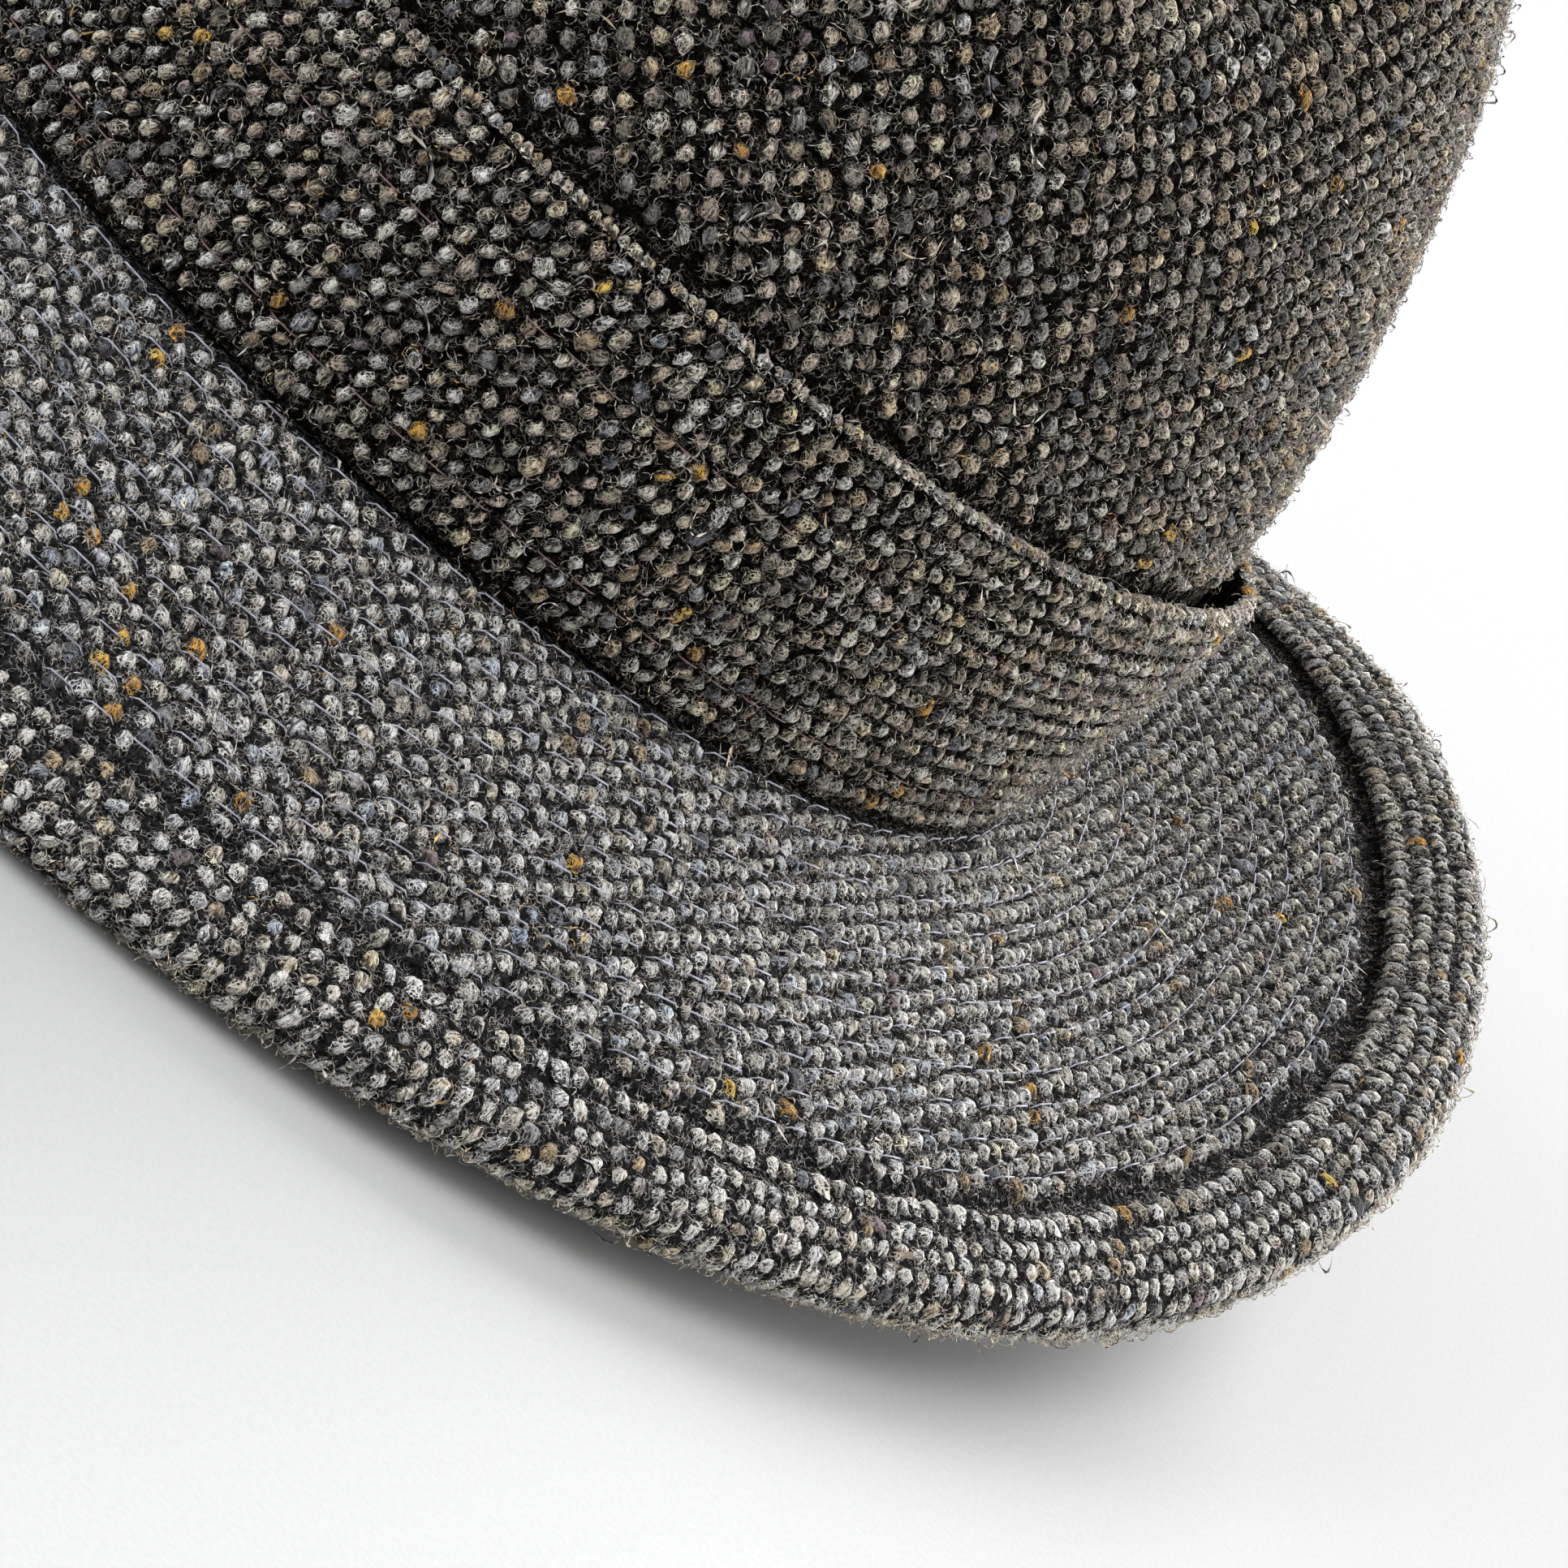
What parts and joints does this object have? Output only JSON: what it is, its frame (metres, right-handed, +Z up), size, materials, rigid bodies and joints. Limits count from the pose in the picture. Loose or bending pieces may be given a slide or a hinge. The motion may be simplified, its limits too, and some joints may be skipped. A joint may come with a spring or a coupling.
{
  "type": "fedora hat",
  "caption": "Soft tweed fedora with a creased crown, a self band and a stitched brim with a bound edge.",
  "frame": {"origin": "on the surface that the hat rests on, under the middle of its box", "axes": "+Z up off the surface, -Y out through the front of the brim, +X to the wearer's left"},
  "size_m": [0.2854, 0.3102, 0.1279],
  "materials": {
    "crown_tweed": "woolly plain weave, pale nubs over near black",
    "band_tweed": "woolly plain weave cut on the bias, folded and topstitched",
    "brim_tweed": "woolly plain weave with close rings of stitching",
    "binding_tweed": "woolly plain weave cut on the bias and wrapped round the edge"
  },
  "bodies": {
    "root": {"crown": "crown_tweed", "band": "band_tweed", "brim": "brim_tweed", "brim_binding": "binding_tweed"}
  },
  "joints": []
}
